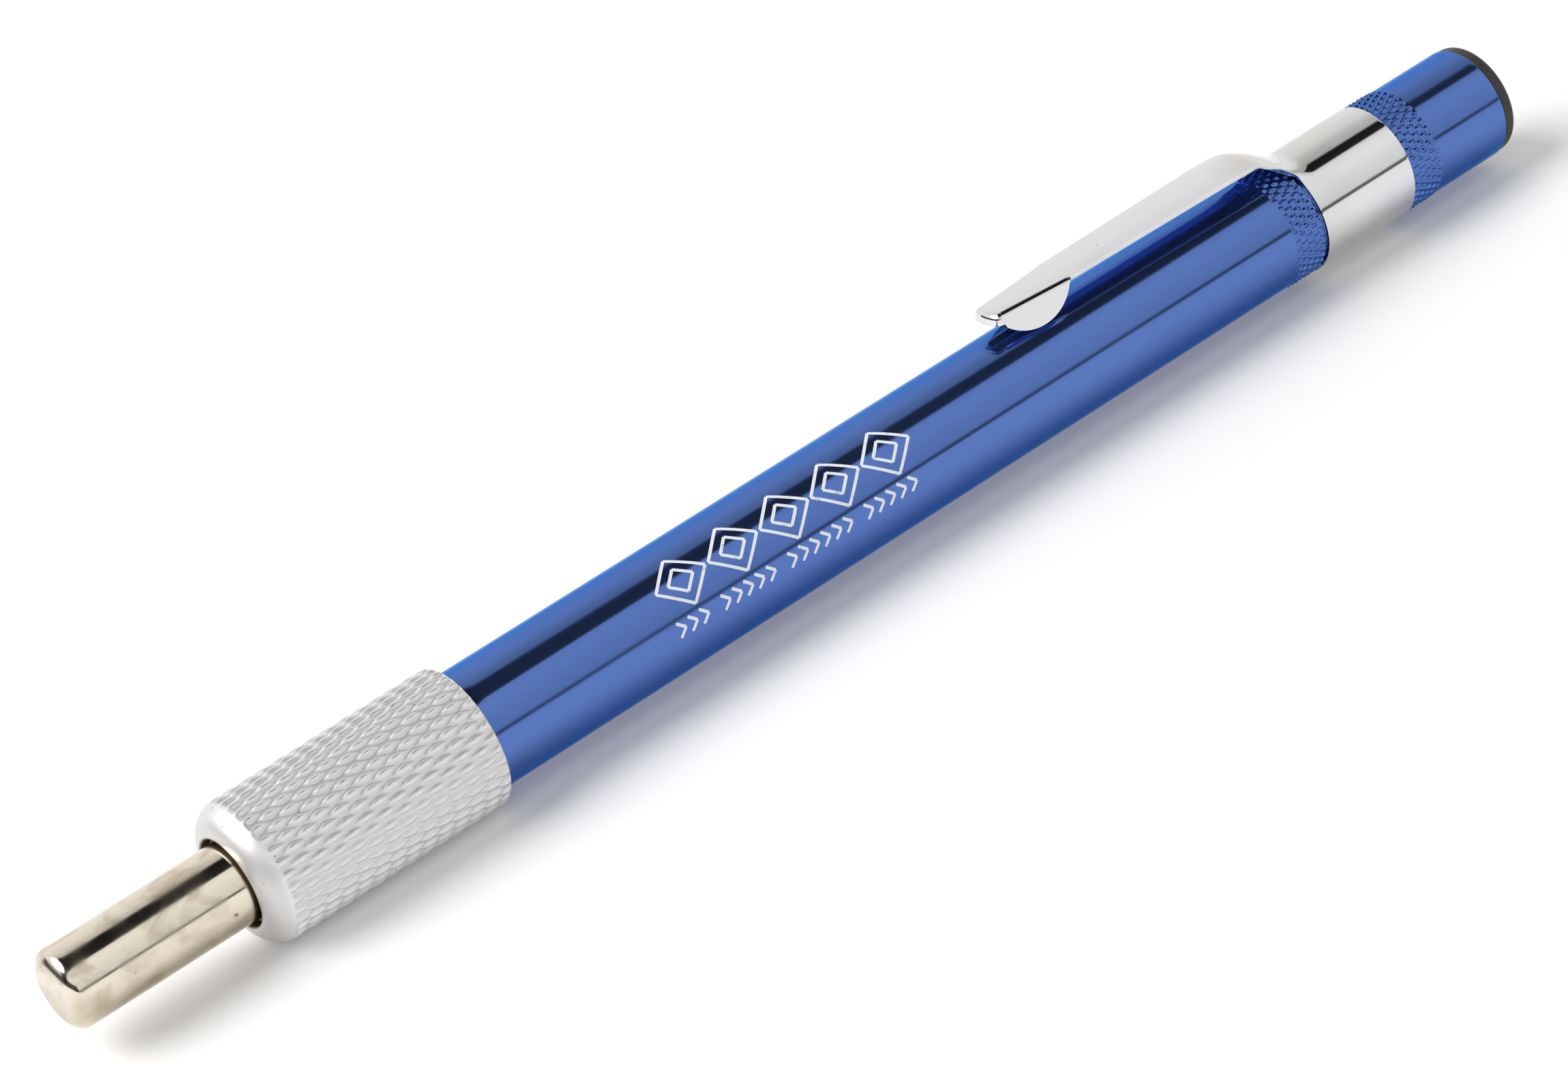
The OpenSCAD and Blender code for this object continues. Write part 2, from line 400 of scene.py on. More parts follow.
# ---------------------------------------------------------------- barrel
BARREL_R = 4.75
BARREL_BORE = 3.9
BAND_R = 4.86
BAND_LENGTH = 3.1
BAND_STARTS = 42
BAND_DIAMOND = 1.3
BAND_DEPTH = 0.2
BAND_GROOVE = 0.5           # each groove's reach to either side, as a share of the pitch
BAND_CLEAR = (0.06, 0.1, 0.14)  # plain rows beside a band, which keep its edge crisp
RING_GAP = 0.26             # groove between the front band and the clip ring
SHEET = 0.4                 # thickness of the clip and its ring
RING_R = 4.89               # outside the ring
EDGE = 0.18                 # round on the ends of the barrel


def band_relief(angle, station, radius):
    """The two knurled bands either side of the clip ring; nothing else on the barrel is cut."""
    cut = BAND_DEPTH * diamonds(angle, station, BAND_STARTS, BAND_DIAMOND, BAND_GROOVE)
    return np.where(radius > BARREL_R + 0.05, radius - cut, radius)


def barrel():
    """The anodised tube, with its bore, its two bands and the clip ring's seat."""
    front_band = RING_FRONT - BAND_LENGTH
    back_band = RING_BACK + BAND_LENGTH
    seat = RING_R - SHEET
    rows = [(BARREL_FRONT, BARREL_BORE), (BARREL_FRONT, BARREL_R - EDGE)]
    rows += arc((BARREL_FRONT + EDGE, BARREL_R - EDGE), EDGE, 10, 90, 5)
    rows += [(s, BARREL_R) for s in even(BARREL_FRONT + 1, front_band - 1, 5)]
    rows += [(front_band - s, BARREL_R) for s in BAND_CLEAR[::-1]]
    rows += [(s, BAND_R) for s in knurl_rows(front_band, RING_FRONT - RING_GAP, BAND_DIAMOND)]
    rows += [(RING_FRONT - RING_GAP, seat), (RING_FRONT, seat), (RING_BACK, seat), (RING_BACK, BARREL_R)]
    rows += [(s, BAND_R) for s in knurl_rows(RING_BACK + 0.04, back_band, BAND_DIAMOND)]
    rows += [(back_band + s, BARREL_R) for s in BAND_CLEAR]
    rows += [(s, BARREL_R) for s in even(back_band + 1, BARREL_BACK - 0.5, 3)]
    rows += arc((BARREL_BACK - EDGE, BARREL_R - EDGE), EDGE, 90, 170, 5)
    rows += [(BARREL_BACK, BARREL_R - EDGE), (BARREL_BACK, BARREL_BORE)]
    piece = turned("barrel_tube", rows, BAND_STARTS * KNURL_CELL, BLUE, band_relief, sharp=50)
    finish_piece(piece, "barrel", "anodised_blue", "barrel")


# ---------------------------------------------------------------- print
INK_R = BARREL_R + 0.012
MOTIF_START = 52.3
MOTIF_END = 77.0
MOTIF_COUNT = 5
MOTIF_TURN = -45.3          # where the row of diamonds lies round the barrel, degrees from the top
MOTIF_HALF = 2.05
MOTIF_SIZES = (1.0, 0.5)    # the outer diamond and the one inside it
MOTIF_FILL = 0.47           # half a diamond's length, as a share of the pitch
STROKE = 0.24
MARK_TURN = -83.5
MARK_HALF = 0.6
MARK_GROUPS = (3, 5, 6, 5)
MARK_PITCH = 1.08
MARK_START = 52.6
MARK_LENGTH = 0.62          # a chevron's length, as a share of the pitch
MARK_SPACE = 0.9            # the space after a group, likewise


def on_barrel(station, along):
    """A point of the print: along is measured round the barrel from the top, towards +Y."""
    return (station, INK_R * math.sin(along / INK_R), INK_R * math.cos(along / INK_R))


def stroke(points, faces, start, end, width, steps=8):
    """A painted line on the barrel between two (station, along) places."""
    (s0, a0), (s1, a1) = start, end
    length = math.hypot(s1 - s0, a1 - a0)
    side = (-(a1 - a0) / length * width / 2, (s1 - s0) / length * width / 2)
    base = len(points)
    for k in range(steps + 1):
        t = k / steps
        s, a = s0 + (s1 - s0) * t, a0 + (a1 - a0) * t
        points.append(on_barrel(s + side[0], a + side[1]))
        points.append(on_barrel(s - side[0], a - side[1]))
    for k in range(steps):
        n = base + 2 * k
        faces.append((n, n + 1, n + 3, n + 2))


def barrel_print():
    """A plain row of outlined diamonds with a row of small chevrons under it."""
    points, faces = [], []
    pitch = (MOTIF_END - MOTIF_START) / MOTIF_COUNT
    middle = math.radians(MOTIF_TURN) * INK_R
    half = pitch * MOTIF_FILL
    for k in range(MOTIF_COUNT):
        centre = MOTIF_START + pitch * (k + 0.5)
        for size in MOTIF_SIZES:
            corners = [(centre - half * size, middle), (centre, middle + MOTIF_HALF * size),
                       (centre + half * size, middle), (centre, middle - MOTIF_HALF * size)]
            for n in range(4):
                stroke(points, faces, corners[n], corners[(n + 1) % 4], STROKE)
    low = math.radians(MARK_TURN) * INK_R
    place = MARK_START
    for group in MARK_GROUPS:
        for _ in range(group):
            peak = (place + MARK_PITCH * MARK_LENGTH, low)
            stroke(points, faces, (place, low + MARK_HALF), peak, STROKE, 3)
            stroke(points, faces, peak, (place, low - MARK_HALF), STROKE, 3)
            place += MARK_PITCH
        place += MARK_PITCH * MARK_SPACE
    piece = make_object("barrel_print", points, faces, INK)
    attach(piece, "barrel")


# ---------------------------------------------------------------- chuck nut
NOSE_ROUND = 2.2
BACK_ROUND = 0.35
NUT_BORE = 4.35
NUT_STARTS = 35
NUT_DIAMOND = 2.85
NUT_GROOVE = 0.40
KNURL_FRONT = NUT_FRONT + 1.85
KNURL_BACK = NUT_BACK - 0.05
SNAP_FRONT, SNAP_BACK = span("collet_snap_ring")
SNAP_SEAT = 4.6


def nut_relief(angle, station, radius):
    """The nut's knurl: rolled in at full radius, so that it dies out on the rounded ends."""
    cut = NUT_DEPTH * diamonds(angle, station, NUT_STARTS, NUT_DIAMOND, NUT_GROOVE)
    inside = (station > KNURL_FRONT) & (station < KNURL_BACK) & (radius > NUT_BORE + 0.5)
    return np.where(inside, np.minimum(radius, NUT_R - cut), radius)


def nut_profile(station):
    """Radius of the nut before it is knurled."""
    front, back = NUT_FRONT + NOSE_ROUND, NUT_BACK - BACK_ROUND
    if station < front:
        return NUT_R - NOSE_ROUND + math.sqrt(max(0, NOSE_ROUND ** 2 - (front - station) ** 2))
    if station > back:
        return NUT_R - BACK_ROUND + math.sqrt(max(0, BACK_ROUND ** 2 - (station - back) ** 2))
    return NUT_R


def chuck_nut():
    """The knurled nut: mouth, outside, and the bore with the snap ring's groove."""
    knurl_start = NUT_FRONT + 1.3
    knurl_end = NUT_BACK - 0.1
    rows = [(NUT_FRONT + 0.12, MOUTH_R), (NUT_FRONT, MOUTH_R + 0.1)]
    rows += [(s, r) for s, r in arc((NUT_FRONT + NOSE_ROUND, NUT_R - NOSE_ROUND), NOSE_ROUND, 10, 90, 22)
             if s < knurl_start]
    rows += [(s, nut_profile(s)) for s in knurl_rows(knurl_start, knurl_end, NUT_DIAMOND)]
    rows += [(s, r) for s, r in arc((NUT_BACK - BACK_ROUND, NUT_R - BACK_ROUND), BACK_ROUND, 90, 178, 14)
             if s > knurl_end]
    rows += [(NUT_BACK, NUT_BORE + 0.15), (NUT_BACK - 0.15, NUT_BORE), (SNAP_BACK, NUT_BORE),
             (SNAP_BACK, SNAP_SEAT), (SNAP_FRONT, SNAP_SEAT), (SNAP_FRONT, NUT_BORE),
             (NUT_FRONT + 3, NUT_BORE), (NUT_FRONT + 2.2, MOUTH_R)]
    piece = turned("nut_knurled", rows, NUT_STARTS * KNURL_CELL, SATIN, nut_relief, sharp=60)
    finish_piece(piece, "chuck_nut", "nut_aluminium", "chuck_nut")


# ---------------------------------------------------------------- thread bushing
THREAD_R = 4.3
THREAD_DEPTH = 0.5
THREAD_PITCH = 1.0
THREAD_FLAT = 0.12          # width of the flats at the crest and the root, as a share of the pitch
THREAD_FRONT = BUSH_FRONT + 5.4
THREAD_RUN_IN = 0.6         # length over which it deepens at its front
THREAD_RUN_OUT = (0.9, 0.5)     # it dies out between these distances from the barrel
THREAD_ROWS = 28            # to one pitch
THREAD_COLUMNS = 168
BUSH_NOSE_R = THREAD_R - 0.08
BUSH_BORE = 3.3
SEAT_R = 4.0                # the collet's seat is a cone from this radius
SEAT_END_R = 3.5            # to this one
SEAT_DEPTH = 4.5


def thread_relief(angle, station, radius):
    """A right-hand thread, cut between the plain nose and the shoulder."""
    turn = station / THREAD_PITCH + angle / (2 * math.pi)
    across = np.abs(turn - np.round(turn)) * 2
    cut = THREAD_DEPTH * np.clip((1 - THREAD_FLAT - across) / (1 - 2 * THREAD_FLAT), 0, 1)
    cut = cut * smoothstep(THREAD_FRONT, THREAD_FRONT + THREAD_RUN_IN, station)
    fade, gone = THREAD_RUN_OUT
    cut = cut * (1 - smoothstep(BARREL_FRONT - fade, BARREL_FRONT - gone, station))
    return np.where((radius > THREAD_R - 0.01) & (station < BARREL_FRONT), radius - cut, radius)


def thread_bushing():
    """The brass insert: plain nose, thread, the part in the barrel, bore and the collet's seat."""
    rows = [(BUSH_FRONT, SEAT_R), (BUSH_FRONT, BUSH_NOSE_R), (THREAD_FRONT - 0.4, BUSH_NOSE_R)]
    rows += [(s, THREAD_R) for s in even(THREAD_FRONT, BARREL_FRONT, THREAD_PITCH / THREAD_ROWS)]
    rows += [(BARREL_FRONT, BARREL_BORE), (BUSH_BACK, BARREL_BORE), (BUSH_BACK, BUSH_BORE),
             (BUSH_FRONT + SEAT_DEPTH + 0.05, BUSH_BORE), (BUSH_FRONT + SEAT_DEPTH, SEAT_END_R)]
    piece = turned("bushing_threaded", rows, THREAD_COLUMNS, BRASS, thread_relief, sharp=40)
    finish_piece(piece, "barrel", "brass", "thread_bushing")


# ---------------------------------------------------------------- rod
SHANK_R = 3.175
SHANK_COLUMNS = 160
# The rounded end, from the side inwards: (degrees turned, length in mm, steps)
TIP_BENDS = ((46, 0.70, 8), (18, 0.60, 6), (26, 0.25, 5))


def rounded_end(bends):
    """Rows from the middle of the shank's end face out to its side; bends are (degrees, length, steps)."""
    side = [(0.0, SHANK_R)]
    heading = 0.0
    for degrees, length, steps in bends:
        for _ in range(steps):
            heading += math.radians(degrees) / steps / 2
            s, r = side[-1]
            side.append((s - length / steps * math.cos(heading), r - length / steps * math.sin(heading)))
            heading += math.radians(degrees) / steps / 2
    front = side[-1][0]
    return [(s - front, r) for s, r in side[::-1]]


def rod_shank():
    """The plated shank, its end face very slightly dished."""
    rows = [(0.05, 0), (0.03, 0.8), (0, 1.6)] + rounded_end(TIP_BENDS)
    rows += [(s, SHANK_R) for s in even(2, SHANK_BACK - 0.4, 3)]
    rows += [(SHANK_BACK, SHANK_R - 0.4), (SHANK_BACK, 0)]
    piece = turned("shank_plated", rows, SHANK_COLUMNS, NICKEL)
    finish_piece(piece, "rod", "nickel_shank", "rod_shank")


ROD_ROOT_R = 2.95
ROD_POINT_R = 1.3
ROD_FLAT = 0.9              # height of the flat over the axis
FLAT_LIMIT = 0.69           # the same at most, as a share of the rod's radius
FLAT_STARTS = (3, 5)        # the flat comes in between these distances from the shank
ROOT_FLAT = 0.96            # before that it lies this share of the way up to full round
CLOSED_R = 0.02             # the point's smallest radius
GROOVE_R = 0.55
GROOVE_LIMIT = 0.8          # the same at most, as a share of half the flat's width
GROOVE_FADE = 1.5           # length over which either end of the groove runs out
GROOVE_FRONT = SHANK_BACK + 8
GROOVE_BACK = ROD_POINT - 8
ROUND_COLUMNS = 60
EDGE_COLUMNS = 5
GROOVE_COLUMNS = 10


def rod_section(station):
    """One ring of the diamond rod: a flat with a groove on top, round underneath."""
    end = ROD_POINT - ROD_POINT_R
    if station <= end:
        radius = ROD_ROOT_R + (ROD_POINT_R - ROD_ROOT_R) * (station - SHANK_BACK) / (end - SHANK_BACK)
    else:
        radius = math.sqrt(max(CLOSED_R ** 2, ROD_POINT_R ** 2 - (station - end) ** 2))
    flat = min(ROD_FLAT, radius * FLAT_LIMIT)
    flat += (radius - flat) * float(1 - smoothstep(*FLAT_STARTS, station - SHANK_BACK)) * ROOT_FLAT
    half = math.sqrt(radius ** 2 - flat ** 2)
    groove = min(GROOVE_R, half * GROOVE_LIMIT)
    fade = float(smoothstep(GROOVE_FRONT, GROOVE_FRONT + GROOVE_FADE, station)
                 * (1 - smoothstep(GROOVE_BACK - GROOVE_FADE, GROOVE_BACK, station)))
    across = [-half + (half - groove) * k / EDGE_COLUMNS for k in range(EDGE_COLUMNS)]
    across += [-groove * math.cos(math.pi * k / GROOVE_COLUMNS) for k in range(GROOVE_COLUMNS + 1)]
    across += [groove + (half - groove) * (k + 1) / EDGE_COLUMNS for k in range(EDGE_COLUMNS)]
    ring = [(station, y, flat - fade * math.sqrt(max(0, groove ** 2 - y ** 2))) for y in across]
    start = math.atan2(half, flat)
    for k in range(1, ROUND_COLUMNS):
        turn = start + (2 * math.pi - 2 * start) * k / ROUND_COLUMNS
        ring.append((station, radius * math.sin(turn), radius * math.cos(turn)))
    return ring


def diamond_rod():
    """The tapered rod, from the shank to its round point."""
    end = ROD_POINT - ROD_POINT_R
    stations = even(SHANK_BACK, SHANK_BACK + 6, 0.4) + even(SHANK_BACK + 7, GROOVE_FRONT + 2, 0.3)
    stations += even(GROOVE_FRONT + 3, GROOVE_BACK - 3, 2.5) + even(GROOVE_BACK - 2, GROOVE_BACK + 1, 0.3)
    stations += even(GROOVE_BACK + 2, end, 1)
    stations += [end + ROD_POINT_R * math.sin(math.radians(a)) for a in range(8, 89, 8)]
    rings = [rod_section(s) for s in stations]
    columns = len(rings[0])
    points = [p for ring in rings for p in ring]
    faces = []
    for i in range(len(rings) - 1):
        for k in range(columns):
            n = (k + 1) % columns
            faces.append((i * columns + k, (i + 1) * columns + k, (i + 1) * columns + n, i * columns + n))
    points += [(SHANK_BACK, 0, 0), (ROD_POINT, 0, 0)]
    base = (len(rings) - 1) * columns
    for k in range(columns):
        n = (k + 1) % columns
        faces.append((len(points) - 2, k, n))
        faces.append((base + k, len(points) - 1, base + n))
    piece = make_object("rod_tapered", points, faces, DIAMOND, 30)
    finish_piece(piece, "rod", "diamond_plate", "diamond_rod")


# ---------------------------------------------------------------- clip
RING_COLUMNS = 216
NECK_START = 114.7
NECK_END = 119.5
STRAP_HALF = 2.475
MID_HALF = 2.0
TIP_HALF = 1.45
EAR_HALF = 2.27             # at the back of the ears, a little wider than the strap behind them
EAR_FRONT = CLIP_TIP + 0.85
EAR_BACK = CLIP_TIP + 7.1
EAR_MIDDLE = CLIP_TIP + 3.65
EAR_LOW = 4.58
EAR_ROUND = 3.9
EAR_LEAN = math.radians(11.0)
EAR_STEPS = 8
FLARE = 1.1                 # length over which the neck widens into the ring
NECK_LIFT = (0.36, 0.85)    # the ring's top lifts into the neck between these angles from the top, radians
SEAM_SHARE = 0.5            # half the gap of the butt seam under the ring, in columns
CURL = 0.25                 # length over which the strap's edge turns down into an ear
CROWN_R = 16.0              # the strap is this round across
CLIP_EDGE = 0.09            # round on the sheet's edges
LIP_DROP = 0.9
LIP_FAN = 19.0              # the tip is a little round in plan: degrees at each side
CORNER_STEPS = 6
MAIN_COLUMNS = 10           # each side of the middle
# The fold between the strap and its ears: (degrees turned, width in mm, steps), from the strap outwards
FOLD_PARTS = ((22, 0.09, 3), (18, 0.40, 5), (39, 0.08, 4))
LIP_PARTS = ((12, 0.14, 3), (67, 0.70, 9))
FOLD_COLUMNS = sum(steps for _, _, steps in FOLD_PARTS)
FOLD_FLAT = 0.45
NECK_COLUMNS = MAIN_COLUMNS + FOLD_COLUMNS
NECK_BLEND = 2.6            # length over which the neck's section turns into the ring's


def clip_height(station):
    """Height of the clip's top face: flat over the barrel, then down to the ring."""
    return RING_R + (CLIP_TOP - RING_R) * float(1 - smoothstep(NECK_START, NECK_END, station))


def clip_half(station):
    """Half the clip's width, flaring into the ring's front edge."""
    if station > RING_FRONT - FLARE:
        root = NECK_COLUMNS * 2 * math.pi * RING_R / RING_COLUMNS
        t = min(1.0, (station - RING_FRONT + FLARE) / FLARE)
        return STRAP_HALF + (root - STRAP_HALF) * (1 - math.sqrt(max(0.0, 1 - t * t)))
    if station > EAR_BACK:
        t = (station - EAR_BACK) / (NECK_START - EAR_BACK)
        wider = (EAR_HALF - MID_HALF) * (1 - float(smoothstep(EAR_BACK, EAR_BACK + CURL, station)))
        return MID_HALF + (STRAP_HALF - MID_HALF) * min(1.0, t) + wider
    return TIP_HALF + (EAR_HALF - TIP_HALF) * (station - CLIP_TIP) / (EAR_BACK - CLIP_TIP)


def clip_crown(station):
    """Radius of the clip's cross-section: the ring's own at the ring, nearly flat on the strap."""
    t = float(smoothstep(NECK_START - 3, NECK_END, station))
    return 1 / ((1 - t) / CROWN_R + t / RING_R)


def fold_profile(turned_share, parts=FOLD_PARTS):
    """Steps (outwards, down) across the fold; at share 0 it lies flat and at 1 it is fully turned down."""
    out, down, bend = 0.0, 0.0, 0.0
    profile = []
    full = sum(width for _, width, _ in parts)
    for degrees, width, steps in parts:
        for _ in range(steps):
            bend += math.radians(degrees) / steps * turned_share
            run = width / steps * (1 + (FOLD_FLAT / full - 1) * (1 - turned_share))
            out += run * math.cos(bend)
            down += run * math.sin(bend)
            profile.append((out, down))
    return profile


def skirt_low(station):
    """Height of the lower edge of an ear; ahead of the ear it is the lip's."""
    reach = EAR_ROUND ** 2 - (station - EAR_MIDDLE) ** 2
    low = EAR_LOW + EAR_ROUND - math.sqrt(max(0.0, reach))
    return min(low, CLIP_TOP - LIP_DROP) if station < EAR_MIDDLE else low


def ring_section(top, angle):
    """A point (y, height) of the ring, whose top is lifted to that height where the neck begins."""
    lift = 1 - float(smoothstep(*NECK_LIFT, abs(angle)))
    radius = RING_R + (top - RING_R) * lift
    return radius * math.sin(angle), radius * math.cos(angle)


def neck_section(station):
    """Half a section of the flat sheet, from the middle outwards.

    Towards the ring its columns spread out evenly and it takes up the ring's own section.
    """
    half, crown, top = clip_half(station), clip_crown(station), clip_height(station)
    near = float(smoothstep(RING_FRONT - NECK_BLEND, RING_FRONT, station))
    reach = [k / MAIN_COLUMNS * (half - FOLD_FLAT) for k in range(MAIN_COLUMNS + 1)]
    reach += [half - FOLD_FLAT + out for out, _ in fold_profile(0.0)]
    side = []
    for k, along in enumerate(reach):
        along += (k / NECK_COLUMNS * half - along) * near
        y, z = crown * math.sin(along / crown), top - crown + crown * math.cos(along / crown)
        ring_y, ring_z = ring_section(top, along / RING_R)
        side.append((y + (ring_y - y) * near, z + (ring_z - z) * near))
    return side


def folded_section(station, share):
    """Half a section of the strap, its edge turned down by that share of an ear's fold."""
    side = neck_section(station)[:MAIN_COLUMNS + 1]
    y0, z0 = side[-1]
    tilt = (clip_half(station) - FOLD_FLAT) / clip_crown(station)
    for out, down in fold_profile(share):
        side.append((y0 + out * math.cos(tilt) - down * math.sin(tilt),
                     z0 - out * math.sin(tilt) * (1 - share) - down))
    return side


class Sheet:
    """The clip's surface as it grows, row by row."""

    def __init__(self):
        self.points = []
        self.faces = []

    def add(self, station, y, height):
        self.points.append((station, y, height))
        return len(self.points) - 1

    def join(self, first, second):
        """Quads between two rows that run towards the nose, facing out."""
        for k in range(len(first) - 1):
            self.faces.append((second[k], first[k], first[k + 1], second[k + 1]))

    def join_columns(self, columns):
        """Faces between neighbouring columns, which may share some of their points."""
        for left, right in zip(columns, columns[1:]):
            for k in range(len(left) - 1):
                corners = [left[k], right[k], right[k + 1], left[k + 1]]
                corners = [c for n, c in enumerate(corners) if c != corners[n - 1]]
                if len(corners) > 2:
                    self.faces.append(tuple(corners))


def grow_ring(sheet):
    """The ring, open at a seam underneath; gives back the part of its front row where the neck starts."""
    turn = 2 * math.pi / RING_COLUMNS
    half_count = RING_COLUMNS // 2
    before = None
    stations = [RING_BACK] + even(RING_BACK - 0.2, NECK_END + 0.2, 1.5)
    stations += even(NECK_END, RING_FRONT, 0.2)
    for station in stations:
        row = []
        for k in range(-half_count, half_count + 1):
            angle = k * turn
            if abs(k) == half_count:
                angle -= math.copysign(SEAM_SHARE * turn, k)
            row.append(sheet.add(station, *ring_section(clip_height(station), angle)))
        if before:
            sheet.join(before, row)
        before = row
    middle = len(before) // 2
    return before[middle - NECK_COLUMNS:middle + NECK_COLUMNS + 1]


def grow_strap(sheet, before):
    """Neck and strap, on from the ring's row; gives back (station, row) for the rows that have ears."""
    stations = [RING_FRONT - back for back in (0.03, 0.08, 0.15, 0.24)]
    stations += even(RING_FRONT - 0.36, NECK_START - 1, 0.14) + even(NECK_START - 1.5, EAR_BACK + 1.9, 1.2)
    stations += even(EAR_BACK + 1.2, EAR_BACK + 0.5, 0.2) + even(EAR_BACK + CURL, EAR_BACK, 0.05)
    stations += even(EAR_BACK - 0.12, EAR_FRONT, 0.16)
    eared = []
    for station in stations:
        share = float(1 - smoothstep(EAR_BACK, EAR_BACK + CURL, station))
        side = folded_section(station, share) if share > 0 else neck_section(station)
        row = [sheet.add(station, -y, z) for y, z in side[:0:-1]]
        row += [sheet.add(station, y, z) for y, z in side]
        sheet.join(before, row)
        before = row
        if share == 1:
            eared.append((station, row))
    return eared


def grow_ears(sheet, eared):
    """The turned-down edges run on as flat faces with a round lower edge.

    Gives back each ear's front column, from the fold down.
    """
    ears = {}
    for side in (-1, 1):
        last = None
        for station, row in eared:
            edge = row[0] if side < 0 else row[-1]
            _, y1, z1 = sheet.points[edge]
            low = min(skirt_low(station), z1 - 0.05)
            down = [edge]
            for k in range(1, EAR_STEPS + 1):
                drop = (z1 - low) * k / EAR_STEPS
                down.append(sheet.add(station, y1 + side * drop * math.tan(EAR_LEAN), z1 - drop))
            if last and side < 0:
                sheet.join(last[::-1], down[::-1])
            elif last:
                sheet.join(last, down)
            last = down
        ears[side] = last
    return ears


def lip_columns(sheet, flat, plan_r):
    """(first point, heading in degrees, share of the lip's own fold) of every column round the tip."""
    corner = [t / CORNER_STEPS for t in range(1, CORNER_STEPS)]
    columns = [(flat[0], t * (90 - LIP_FAN), t) for t in corner]
    for start in flat:
        columns.append((start, 90 + math.degrees(math.asin(sheet.points[start][1] / plan_r)), 1.0))
    return columns + [(flat[-1], 180 - t * (90 - LIP_FAN), t) for t in corner[::-1]]


def grow_lip(sheet, eared, ears):
    """The lip: a rounder fold carried round the tip, from one ear to the other."""
    station, row = eared[-1]
    flat = row[FOLD_COLUMNS:len(row) - FOLD_COLUMNS]
    ear_fold, lip_fold = fold_profile(1.0), fold_profile(1.0, LIP_PARTS)
    run, fall = lip_fold[-1]
    plan_r = abs(sheet.points[flat[0]][1]) / math.sin(math.radians(LIP_FAN))
    back_off = plan_r * math.cos(math.radians(LIP_FAN))
    room = station - CLIP_TIP - 0.02 - plan_r + back_off
    stretch = room / (run + (LIP_DROP - fall) * math.tan(EAR_LEAN))
    low = CLIP_TOP - LIP_DROP
    strip = [[flat[0]] + row[FOLD_COLUMNS::-1] + ears[-1][1:]]
    for start, heading, share in lip_columns(sheet, flat, plan_r):
        s0, y0, z0 = sheet.points[start]
        ahead, aside = math.sin(math.radians(heading)), -math.cos(math.radians(heading))
        lead = math.sqrt(plan_r ** 2 - y0 ** 2) - back_off
        column = [start, sheet.add(s0 - lead, y0, z0) if lead > 0.001 else start]
        s0 -= lead
        for (out1, down1), (out2, down2) in zip(ear_fold, lip_fold):
            out, down = out1 + (out2 - out1) * share, down1 + (down2 - down1) * share
            column.append(sheet.add(s0 - out * stretch * ahead, y0 + out * aside, z0 - down))
        z1 = sheet.points[column[-1]][2]
        for k in range(1, EAR_STEPS + 1):
            drop = (z1 - low) * k / EAR_STEPS
            reach = out + drop * math.tan(EAR_LEAN)
            column.append(sheet.add(s0 - reach * stretch * ahead, y0 + reach * aside, z1 - drop))
        strip.append(column)
    strip.append([flat[-1]] + row[len(row) - 1 - FOLD_COLUMNS:] + ears[1][1:])
    sheet.join_columns(strip)


def pocket_clip():
    """The clip's sheet, one surface from the ring through the neck and strap to the ears and lip."""
    sheet = Sheet()
    eared = grow_strap(sheet, grow_ring(sheet))
    grow_lip(sheet, eared, grow_ears(sheet, eared))
    piece = make_object("clip_sheet", sheet.points, sheet.faces, CHROME, 60)
    thick = piece.modifiers.new("sheet", "SOLIDIFY")
    thick.thickness = SHEET * MM
    thick.offset = -1
    soft = piece.modifiers.new("edges", "BEVEL")
    soft.width = CLIP_EDGE * MM
    soft.segments = 3
    soft.limit_method = "ANGLE"
    soft.angle_limit = math.radians(60)
    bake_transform(piece)
    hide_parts("clip_ring", "clip_strap")


# ---------------------------------------------------------------- end plug
PLUG_R = 4.65
PLUG_EDGE = 0.55
PLUG_HOLLOW_R = 2.8
PLUG_FLOOR = 2.0
DISH_R = 2.2                # a shallow dish in the end face, with the moulding's gate mark in its middle
DISH_DEPTH = 0.15
GATE_R = 0.6
GATE_HEIGHT = 0.1
PLUG_COLUMNS = 144


def end_plug():
    """The plug: hollow inside the barrel, round-edged outside, with a dish in its end face."""
    dish = PLUG_BACK - DISH_DEPTH
    rows = [(BARREL_BACK - PLUG_FLOOR, 0), (BARREL_BACK - PLUG_FLOOR, PLUG_HOLLOW_R)]
    rows += [(PLUG_FRONT, PLUG_HOLLOW_R), (PLUG_FRONT, BARREL_BORE - 0.2), (PLUG_FRONT + 0.4, BARREL_BORE),
             (BARREL_BACK, BARREL_BORE), (BARREL_BACK, PLUG_R - 0.05), (BARREL_BACK + 0.05, PLUG_R)]
    rows += arc((PLUG_BACK - PLUG_EDGE, PLUG_R - PLUG_EDGE), PLUG_EDGE, 90, 178, 10)
    rows += [(PLUG_BACK, DISH_R), (dish, DISH_R - 0.2), (dish, GATE_R), (dish + GATE_HEIGHT, GATE_R - 0.25),
             (dish + GATE_HEIGHT, 0)]
    piece = turned("plug_moulded", rows, PLUG_COLUMNS, PLASTIC)
    finish_piece(piece, "barrel", "black_plastic", "end_plug")


def carried_over():
    """The CAD nodes that stay as they are: the collet and its snap ring."""
    for node, material in (("collet", BRASS), ("collet_snap_ring", WIRE)):
        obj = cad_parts[node]
        obj.data.materials.clear()
        obj.data.materials.append(material)
        obj.data.shade_smooth()
        obj.data.set_sharp_from_angle(angle=math.radians(30))


# ---------------------------------------------------------------- floor, light and camera
PLAIN = (1.0, 1.0, 1.0)
WARM = (1.0, 0.985, 0.97)
